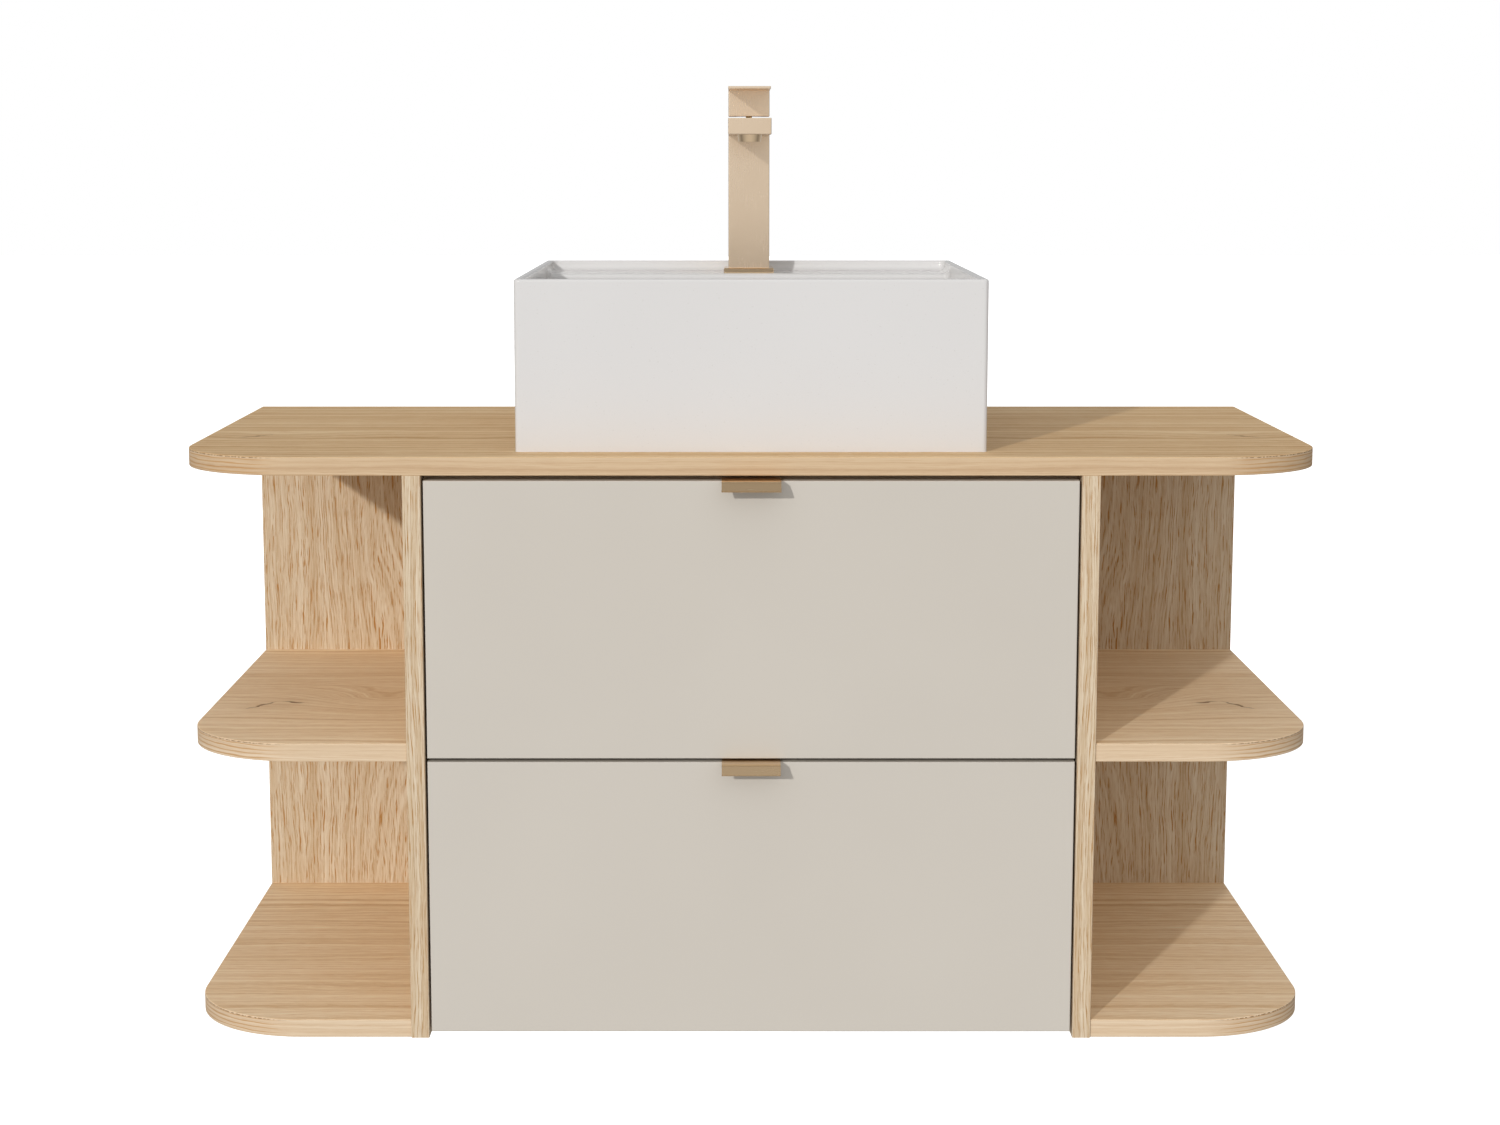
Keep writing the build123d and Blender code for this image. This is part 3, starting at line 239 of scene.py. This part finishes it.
def figure(graph, along, across, counts, board, detail=2.0, roughness=0.5):
    """Noise drawn out along the grain, with counts = (along, across) of its features."""
    return graph.noise(along * counts[0], across * counts[1], board, detail, roughness)


def edge_band(graph, wood, run, z, facing, drift, ripple, board, top):
    """The band round a lying board, with its layers and glue line bared where it bends."""
    edge = graph.step(facing[2], 0.7, 0.3)
    bend = graph.step(facing[0], 0.04, 0.40) * edge
    wood = graph.mix(edge * 0.55, wood, OAK_BAND)
    layers = graph.math("SINE", z * BAND_LAYERS + ripple * 3.0 + drift * 9.0)
    wood = graph.mix(graph.step(layers, 0.45, 0.95) * bend * 0.70, wood, OAK_PORE)
    glue = graph.math("ABSOLUTE", z - (top - GLUE_LINE_DEPTH)) / GLUE_LINE_WIDTH
    gaps = graph.noise(run * GLUE_LINE_BREAKS, board, 2.0, detail=1.0)
    broken = graph.step(gaps, 0.42, 0.55)
    return graph.mix(graph.step(glue, 1.0, 0.4) * broken * bend * 0.85, wood, OAK_KNOT)


def oak(name, place, board, tint=WHITE, pores=1.0, bands=0.35, hills=(), cracks=(), top=None):
    """Oiled oak veneer, mirrored between the left and right halves of the vanity.

    place(graph, x, y, z, facing) gives the spot along and across the grain. board tells
    boards apart. pores is how strong the dark dashes are and bands how strong the growth
    rings. hills turn straight rings into arches. top is given for a lying board, which has
    an edge band: the height of its upper face.
    """
    graph = Finish(name, IOR=1.45, Specular_IOR_Level=0.16)
    x, y, z = graph.place()
    x = graph.math("ABSOLUTE", x)
    facing = graph.facing()
    run, side = place(graph, x, y, z, facing)

    drift = figure(graph, run, side, DRIFT, board, detail=1.0)
    ripple = figure(graph, run, side, RIPPLE, board + 3.0, detail=1.0)
    grain = side * RINGS_ACROSS + drift * 2.6 + ripple * 0.35
    phase = grain
    for centre, reach, turns in hills:
        phase = phase + swell(graph, run, side, centre, reach) * turns
    rings = graph.stripes(phase + board * 7.3, roughness=0.5)
    lines = graph.stripes(phase * LINES_PER_RING + board * 3.1, detail=1.0, roughness=0.6)
    fibre = figure(graph, run, grain, FIBRE, board, roughness=0.65)
    broad = figure(graph, run, side, BROAD, board + 9.0)
    shares = bands + LINE_SHARE + FIBRE_SHARE + BROAD_SHARE
    tone = rings * bands + lines * LINE_SHARE + fibre * FIBRE_SHARE + broad * BROAD_SHARE
    tone = tone - (shares - 1.0) * 0.5
    wood = graph.ramp(tone, (0.34, OAK_LIGHT), (0.52, OAK_MIDDLE), (0.78, OAK_DARK))

    pits = figure(graph, run, grain, DASH, board + 5.0, roughness=0.6)
    late_wood = graph.step(lines, 0.40, 0.62) * 0.8 + 0.2
    dashes = graph.step(pits, 0.535, 0.60) * late_wood
    wood = graph.mix(dashes * pores, wood, OAK_PORE)
    flecks = figure(graph, run, grain, FLECK, board + 13.0, detail=1.0)
    wood = graph.mix(graph.step(flecks, 0.58, 0.70) * 0.42, wood, OAK_LIGHT)
    wood = graph.mix(1.0, wood, tint, "MULTIPLY")

    height = fibre * 0.5 - dashes * pores - rings * 0.3
    for centre, half_length, slope in cracks:
        mark = crack(graph, run, side, centre, half_length, slope, ripple)
        stain = swell(graph, run, side, centre, (half_length * 1.6, STAIN_WIDTH))
        wood = graph.mix(stain * 0.18, wood, OAK_DARK)
        wood = graph.mix(mark * 0.85, wood, OAK_KNOT)
        height = height - mark * 1.5
    if top is not None:
        wood = edge_band(graph, wood, run, z, facing, drift, ripple, board, top)
    graph.bump(height, OAK_RELIEF, 0.8)
    return graph.finish(wood, 0.56 + broad * 0.10 + dashes * 0.15)


def lying(graph, x, y, z, facing):
    """Along x and across y on a lying board's faces; round and up its edges."""
    edge = graph.step(facing[2], 0.7, 0.3)
    return x + y * edge, y + (z * 2.5 - y) * edge


def standing(graph, x, y, z, facing):
    """Up a standing board that faces the front."""
    return z, x + y


def side_standing(graph, x, y, z, facing):
    """Up a standing board that faces the side, and up its narrow front edge."""
    edge = graph.step(facing[1], 0.3, 0.7)
    return z, y + (x * 2.2 - y) * edge


def lying_oak(name, node, board, **grain):
    """Oak with an edge band, for boards that lie as high as a node."""
    return oak(name, lying, board, top=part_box(node)[1].z, **grain)


def beech():
    """Ribbed dowel wood, with short darker flecks."""
    graph = Finish("beech")
    flecks = graph.texture(graph.place(), 900.0, detail=3.0)
    colour = graph.ramp(flecks, (0.35, BEECH_LIGHT), (0.7, BEECH_DARK))
    graph.bump(flecks, 0.1 * MM, 0.5)
    return graph.finish(colour, 0.6 + flecks * 0.1)


# ---- other finishes -----------------------------------------------------------------
LACQUER_DEEP = (0.600, 0.556, 0.493)
LACQUER_PALE = (0.612, 0.568, 0.504)
LACQUER_DUST = (0.45, 0.40, 0.34)
GLAZE_WARM = (0.720, 0.708, 0.700)
GLAZE_COOL = (0.732, 0.721, 0.714)
GLAZE_PINHOLE = (0.45, 0.42, 0.38)
GOLD_LIGHT = (0.900, 0.720, 0.535)
GOLD_DARK = (0.870, 0.685, 0.495)
BRASS_CLEAN = (0.80, 0.62, 0.30)
BRASS_TARNISHED = (0.42, 0.27, 0.11)
ZINC_LIGHT = (0.63, 0.64, 0.66)
ZINC_DARK = (0.46, 0.47, 0.50)
ZINC_SCRATCHED = (0.78, 0.78, 0.78)
PLASTIC_WHITE = ((0.80, 0.80, 0.79), (0.73, 0.73, 0.72))
PLASTIC_GREY = ((0.42, 0.42, 0.43), (0.34, 0.34, 0.35))
RUBBER_BLACK = (0.025, 0.025, 0.027)
RUBBER_BLOOM = (0.085, 0.084, 0.082)
LINEN_DARK = (0.50, 0.475, 0.44)
LINEN_LIGHT = (0.66, 0.635, 0.60)
LINEN_SHADE = (0.55, 0.52, 0.47)


def greige_lacquer():
    """Satin lacquer sprayed on board, with faint orange peel and a touch of dust."""
    graph = Finish("greige_lacquer", IOR=1.46)
    spot = graph.place()
    peel = graph.texture(spot, 420.0)
    cloud = graph.texture(spot, 7.0, detail=3.0)
    dust = graph.step(graph.texture(spot, 1600.0, detail=1.0), 0.70, 0.78)
    colour = graph.ramp(cloud, (0.3, LACQUER_DEEP), (0.7, LACQUER_PALE))
    colour = graph.mix(dust * 0.06, colour, LACQUER_DUST)
    graph.bump(peel, 0.02 * MM, 0.6)
    return graph.finish(colour, 0.40 + cloud * 0.08 + dust * 0.1)


def glazed_ceramic():
    """White glaze: nearly flat, with long soft waves, pinholes and warmer patches."""
    graph = Finish("glazed_ceramic", IOR=1.5)
    spot = graph.place()
    wave = graph.texture(spot, 7.0, detail=1.0)
    fine = graph.texture(spot, 260.0)
    pinhole = graph.step(graph.texture(spot, 700.0, detail=0.0), 0.79, 0.84)
    colour = graph.ramp(wave, (0.3, GLAZE_WARM), (0.7, GLAZE_COOL))
    colour = graph.mix(pinhole * 0.2, colour, GLAZE_PINHOLE)
    graph.bump(wave + fine * 0.003 - pinhole * 0.02, 0.15 * MM, 0.05)
    return graph.finish(colour, 0.10 + fine * 0.03)


def brushed_gold(name, grain, roughness=0.27, tint=WHITE):
    """Finely brushed and lacquered gold finish; grain is the axis the brush ran along."""
    graph = Finish(name, Metallic=1.0)
    spot = graph.place()
    counts = tuple(60.0 if axis == grain else 1500.0 for axis in "xyz")
    strokes = graph.texture(spot, counts, detail=3.0, roughness=0.7)
    cloud = graph.texture(spot, 30.0)
    colour = graph.ramp(strokes * 0.5 + cloud * 0.5, (0.3, GOLD_DARK), (0.7, GOLD_LIGHT))
    colour = graph.mix(1.0, colour, tint, "MULTIPLY")
    graph.bump(strokes, 0.0015 * MM, 0.1)
    return graph.finish(colour, strokes * 0.02 + cloud * 0.02 + (roughness - 0.02))


def raw_brass():
    """Turned brass with tool rings and a little brown tarnish."""
    graph = Finish("raw_brass", Metallic=1.0)
    x, y, z = graph.place()
    rings = graph.stripes(z * 2600.0)
    tarnish = graph.texture((x, y, z), 90.0, detail=4.0, roughness=0.65)
    tone = rings * 0.3 + tarnish * 0.7
    colour = graph.ramp(tone, (0.35, BRASS_CLEAN), (0.7, BRASS_TARNISHED))
    graph.bump(rings, 0.03 * MM, 0.6)
    return graph.finish(colour, 0.26 + tarnish * 0.25)


def zinc_steel():
    """Zinc-plated sheet: faint spangle, roll marks and handling scratches."""
    graph = Finish("zinc_steel", Metallic=1.0)
    spot = graph.place()
    cells = graph.node("ShaderNodeTexVoronoi", Vector=graph.vector(*spot), Scale=320.0)
    spangle = Number(graph, cells.outputs["Distance"])
    rolled = graph.texture(spot, (1800.0, 60.0, 1800.0))
    scratch = graph.step(graph.texture(spot, (30.0, 900.0, 300.0)), 0.66, 0.7)
    colour = graph.ramp(spangle * 0.5 + rolled * 0.5, (0.25, ZINC_LIGHT), (0.8, ZINC_DARK))
    colour = graph.mix(scratch * 0.35, colour, ZINC_SCRATCHED)
    graph.bump(rolled + scratch * -0.5, 0.02 * MM, 0.5)
    return graph.finish(colour, 0.30 + rolled * 0.15 + spangle * 0.1)


def moulded_plastic(name, colours, roughness):
    """Injection-moulded plastic with an eroded tool texture and slight flow marks."""
    graph = Finish(name, IOR=1.49, Subsurface_Weight=0.05, Subsurface_Scale=2 * MM)
    light, dark = colours
    spot = graph.place()
    eroded = graph.texture(spot, 1300.0)
    flow = graph.texture(spot, (22.0, 22.0, 40.0), detail=3.0)
    colour = graph.ramp(flow, (0.3, dark), (0.7, light))
    graph.bump(eroded, 0.03 * MM, 0.5)
    return graph.finish(colour, eroded * 0.12 + (roughness - 0.06))


def rubber():
    """Dark sealing rubber with talc bloom in its pores."""
    graph = Finish("rubber", IOR=1.5)
    bloom = graph.texture(graph.place(), 350.0, detail=4.0)
    colour = graph.ramp(bloom, (0.4, RUBBER_BLACK), (0.75, RUBBER_BLOOM))
    graph.bump(bloom, 0.08 * MM, 0.6)
    return graph.finish(colour, 0.62 + bloom * 0.2)


def drawer_board():
    """Melamine with a printed linen weave: crossing threads of two greys."""
    graph = Finish("drawer_board", IOR=1.48)
    x, y, z = graph.place()
    facing = graph.facing()
    level = graph.step(facing[2], 0.3, 0.7)
    side = x * level + z * (level * -1.0 + 1.0)
    warp = graph.noise(y * 60.0, side * 1600.0, 1.0, detail=1.0)
    weft = graph.noise(y * 1600.0, side * 60.0, 5.0, detail=1.0)
    weave = warp * 0.5 + weft * 0.5
    cloud = graph.texture((x, y, z), 6.0)
    colour = graph.ramp(weave, (0.36, LINEN_DARK), (0.62, LINEN_LIGHT))
    colour = graph.mix(cloud * 0.2, colour, LINEN_SHADE)
    graph.bump(weave, 0.05 * MM, 0.5)
    return graph.finish(colour, 0.45 + weave * 0.15)


# ---- which piece gets which finish ----------------------------------------------------
SHARP_ANGLE = 35.0           # degrees: steeper edges stay sharp
WORKTOP_TINT = (1.03, 0.895, 0.68)
# Painted light: the shelves are tinted lighter than the rest of the oak to stand in for light
# bounced round the open bays.
SHELF_PAINTED_LIGHT_TINT = (1.27, 1.24, 1.17)
PANEL_TINT = (0.92, 0.935, 0.94)
HANDLE_TINT = (0.80, 0.73, 0.60)
# Painted reflection: a tint above the gold's own colour, standing in for the bright reflection
# on the tap's base plate and the other shiny small parts.
PAINTED_REFLECTION_TINT = (1.08, 1.03, 0.92)


def soften(node):
    """Shade the round faces smooth and keep the real edges sharp."""
    mesh = node.data
    mesh.shade_smooth()
    mesh.set_sharp_from_angle(angle=radians(SHARP_ANGLE))


def dress(material, *names):
    """Give every slot of the named nodes one material."""
    for name in names:
        slots = NODES[name].data.materials
        if len(slots) == 0:
            slots.append(material)
        for index in range(len(slots)):
            slots[index] = material


def dress_boards():
    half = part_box("worktop")[1].x
    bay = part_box("right_middle_shelf")[0]
    front = bay.y
    # Hills are (centre, reach, turns) and cracks (centre, half length, slope).
    top_streaks = (((half - 250 * MM, front + 140 * MM), (260 * MM, 45 * MM), 3.5),
                   ((half - 60 * MM, front + 170 * MM), (70 * MM, 40 * MM), 2.0))
    top_cracks = (((half - 45 * MM, front + 176 * MM), 16 * MM, -1.06),)
    shelf_swirl = (((bay.x + 40 * MM, front + 190 * MM), (58 * MM, 60 * MM), 6.0),)
    shelf_cracks = (((half - 45 * MM, front + 168 * MM), 15 * MM, -1.25),
                    ((half - 72 * MM, front + 183 * MM), 13 * MM, 0.30))
    arches = (((-20 * MM, bay.x + 20 * MM), (230 * MM, 75 * MM), 4.0),)
    worktop = lying_oak("oak_worktop", "worktop", 1.0, tint=WORKTOP_TINT, pores=0.35,
                        bands=1.0, hills=top_streaks, cracks=top_cracks)
    dress(worktop, "worktop")
    # The shelves' lighter tint is painted light, standing in for light bounced round the bays.
    middle = lying_oak("oak_middle_shelf", "right_middle_shelf", 2.0, tint=SHELF_PAINTED_LIGHT_TINT,
                       pores=0.28, bands=0.50, hills=shelf_swirl, cracks=shelf_cracks)
    dress(middle, "left_middle_shelf", "right_middle_shelf")
    bottom = lying_oak("oak_bottom_shelf", "right_bottom_shelf", 3.0, tint=SHELF_PAINTED_LIGHT_TINT,
                       pores=0.28, bands=0.60)
    dress(bottom, "left_bottom_shelf", "right_bottom_shelf")
    back = oak("oak_back_panel", standing, 4.0, tint=PANEL_TINT, pores=1.3, hills=arches)
    dress(back, "back_panel")
    side = oak("oak_side_panel", side_standing, 5.0, tint=PANEL_TINT, pores=1.3)
    dress(side, "left_side_panel", "right_side_panel")
    rail = lying_oak("oak_rail", "front_top_rail", 6.0, pores=0.6)
    dress(rail, "front_top_rail", "rear_bottom_rail", "rear_top_rail")
    dress(beech(), "panel_dowels")


def names_with(*endings):
    """CAD nodes whose name ends with one of the endings."""
    return [name for name in NODES if name.endswith(endings)]


def dress_fittings():
    dress(greige_lacquer(), "upper_drawer_front", "lower_drawer_front")
    dress(drawer_board(), *names_with("drawer_bottom", "drawer_left_side", "drawer_right_side",
                                      "drawer_left_back", "drawer_right_back", "drawer_back"))
    dress(zinc_steel(), *names_with("runners", "fixings"), "wall_brackets", "carcass_screws",
          "tap_clamp", "tap_stud", "tap_nut", "lever_pin", "lever_grub_screw")
    handle = brushed_gold("brushed_gold_handle", "x", tint=HANDLE_TINT)
    dress(handle, *names_with("drawer_handle"))
    dress(brushed_gold("brushed_gold_upright", "z"), "tap_body", "lever_handle")
    # This gold has a smooth finish and a tint made brighter as a painted reflection.
    smooth_gold_painted_bright = brushed_gold("polished_gold_painted_reflection", "x", 0.12, tint=PAINTED_REFLECTION_TINT)
    dress(smooth_gold_painted_bright, "tap_base_plate", "aerator", "drain_plug", "drain_body")
    dress(raw_brass(), "tap_inlet_block", "cartridge_nut", "lever_stem")
    dress(glazed_ceramic(), "basin")
    dress(rubber(), "drain_gaskets", "tap_gasket")
    white = moulded_plastic("white_plastic", PLASTIC_WHITE, 0.38)
    dress(white, "drain_back_nut", "trap_body", "trap_cup", "trap_nuts", "waste_pipe")
    grey = moulded_plastic("grey_plastic", PLASTIC_GREY, 0.45)
    dress(grey, "upper_drawer_siphon_liner", "cartridge", "cartridge_rotor")


# ---- studio ---------------------------------------------------------------------------
FLOOR_DROP = 0.42            # floor below the cabinet
FLOOR_HALF = 30.0
FLOOR_GREY = (0.9, 0.9, 0.9, 1.0)
FLOOR_GLOW = 0.8
SUN_DIRECTION = Vector((0.46, 1.0, -0.34))
SUN_STRENGTH = 1.50
SUN_COLOUR = (1.0, 0.985, 0.965)
SUN_WIDTH = 1.6              # degrees
SKY_ALL_ROUND = 0.22
SKY_FRONT = 0.39             # more towards the front
SKY_BACK = 0.30              # more towards the back
SKY_ABOVE = 0.08             # more towards the top
SKY_FRONT_HIGH = 0.75        # more half way up in front
CAMERA_AT = Vector((-0.0157, -2.820, 0.522))
CAMERA_PITCH = 8.44          # degrees below the horizon
CAMERA_LENS = 65.92          # millimetres
CAMERA_SENSOR = 36.0         # millimetres wide
CAMERA_SHIFT = 0.0113


def studio_floor():
    """A pale glowing floor that only the camera sees, so that it lights nothing."""
    z = CAD_LOW.z - FLOOR_DROP
    mesh = bpy.data.meshes.new("studio_floor")
    around = ((-1, -1), (1, -1), (1, 1), (-1, 1))
    corners = [(x * FLOOR_HALF, y * FLOOR_HALF, z) for x, y in around]
    mesh.from_pydata(corners, [], [(0, 1, 2, 3)])
    floor = bpy.data.objects.new("studio_floor", mesh)
    bpy.context.scene.collection.objects.link(floor)
    graph = Finish("studio_floor", Emission_Strength=FLOOR_GLOW)
    graph.shader.inputs["Emission Color"].default_value = (*WHITE, 1.0)
    mesh.materials.append(graph.finish(FLOOR_GREY, 0.9))
    floor.visible_diffuse = False
    floor.visible_glossy = False


def studio_key():
    """One crisp key light from the upper left."""
    sun = bpy.data.lights.new("key", "SUN")
    sun.energy = SUN_STRENGTH
    sun.angle = radians(SUN_WIDTH)
    sun.color = SUN_COLOUR
    key = bpy.data.objects.new("key", sun)
    key.rotation_euler = SUN_DIRECTION.to_track_quat("-Z", "Y").to_euler()
    bpy.context.scene.collection.objects.link(key)


def studio_sky():
    """A soft dome, brightest in front, which the camera sees as plain white."""
    world = bpy.data.worlds.new("studio")
    world.use_nodes = True
    bpy.context.scene.world = world
    graph = Graph(world.node_tree)
    graph.tree.nodes.clear()
    y, z = graph.split(graph.node("ShaderNodeTexCoord").outputs["Generated"])[1:]
    front = graph.math("MAXIMUM", y * -1.0, 0.0)
    behind = graph.math("MAXIMUM", y, 0.0)
    above = graph.math("MAXIMUM", z, 0.0)
    level = front * SKY_FRONT + behind * SKY_BACK + above * SKY_ABOVE + SKY_ALL_ROUND
    level = level + front * above * SKY_FRONT_HIGH
    soft = graph.node("ShaderNodeBackground", Color=level)
    white = graph.node("ShaderNodeBackground", Color=(*WHITE, 1.0))
    seen = graph.node("ShaderNodeLightPath").outputs["Is Camera Ray"]
    choose = graph.node("ShaderNodeMixShader", Fac=seen)
    graph.feed(choose.inputs[1], soft.outputs[0])
    graph.feed(choose.inputs[2], white.outputs[0])
    graph.node("ShaderNodeOutputWorld", Surface=choose.outputs[0])


def studio_camera():
    """A long lens in front of the tap, tilted down a little."""
    camera = bpy.data.cameras.new("camera")
    camera.lens = CAMERA_LENS
    camera.sensor_width = CAMERA_SENSOR
    camera.sensor_fit = "HORIZONTAL"
    camera.shift_x = CAMERA_SHIFT
    seat = bpy.data.objects.new("camera", camera)
    seat.location = CAMERA_AT
    seat.rotation_euler = (radians(90.0 - CAMERA_PITCH), 0.0, 0.0)
    bpy.context.scene.collection.objects.link(seat)
    bpy.context.scene.camera = seat
    bpy.context.scene.view_settings.view_transform = "Standard"


for piece in NODES.values():
    soften(piece)
dress_boards()
dress_fittings()
studio_floor()
studio_key()
studio_sky()
studio_camera()
